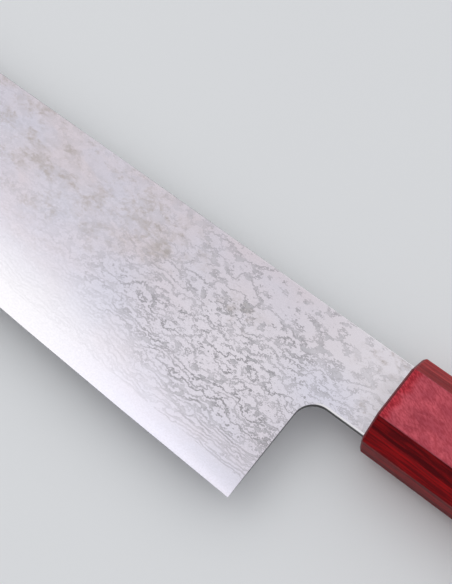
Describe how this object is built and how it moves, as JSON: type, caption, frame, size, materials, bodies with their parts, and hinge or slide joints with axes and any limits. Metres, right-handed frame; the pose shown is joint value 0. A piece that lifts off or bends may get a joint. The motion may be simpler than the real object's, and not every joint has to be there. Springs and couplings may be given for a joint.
{
  "type": "kiritsuke knife",
  "caption": "Kiritsuke kitchen knife: layered double-bevel blade with a clipped tip and hidden tang, in an octagonal laminated-wood handle whose ferrule and body meet on a dowel.",
  "frame": {"origin": "middle of the bounding box's floor; the handle's lower side facet lies on the floor along its rear end", "axes": "+X from the tip to the butt, -Y the way the cutting edge faces, +Y the spine, +Z out of the blade's left face"},
  "size_m": [0.365, 0.051, 0.0205],
  "materials": {
    "core_steel": "fine satin, polished towards the cutting edge",
    "damascus_cladding": "etched layered steel with a pale and grey cloud and contour pattern, satin",
    "red_pakkawood": "red resin-laminated wood, satin, with fine fibre and layer lines",
    "dowel_wood": "plain pale hardwood, turned",
    "resin": "cured clear amber epoxy"
  },
  "bodies": {
    "root": {"core_steel": "core_steel", "left_cladding": "damascus_cladding", "right_cladding": "damascus_cladding", "ferrule": "red_pakkawood", "handle_body": "red_pakkawood", "dowel": "dowel_wood", "tang_bedding": "resin"}
  },
  "joints": []
}
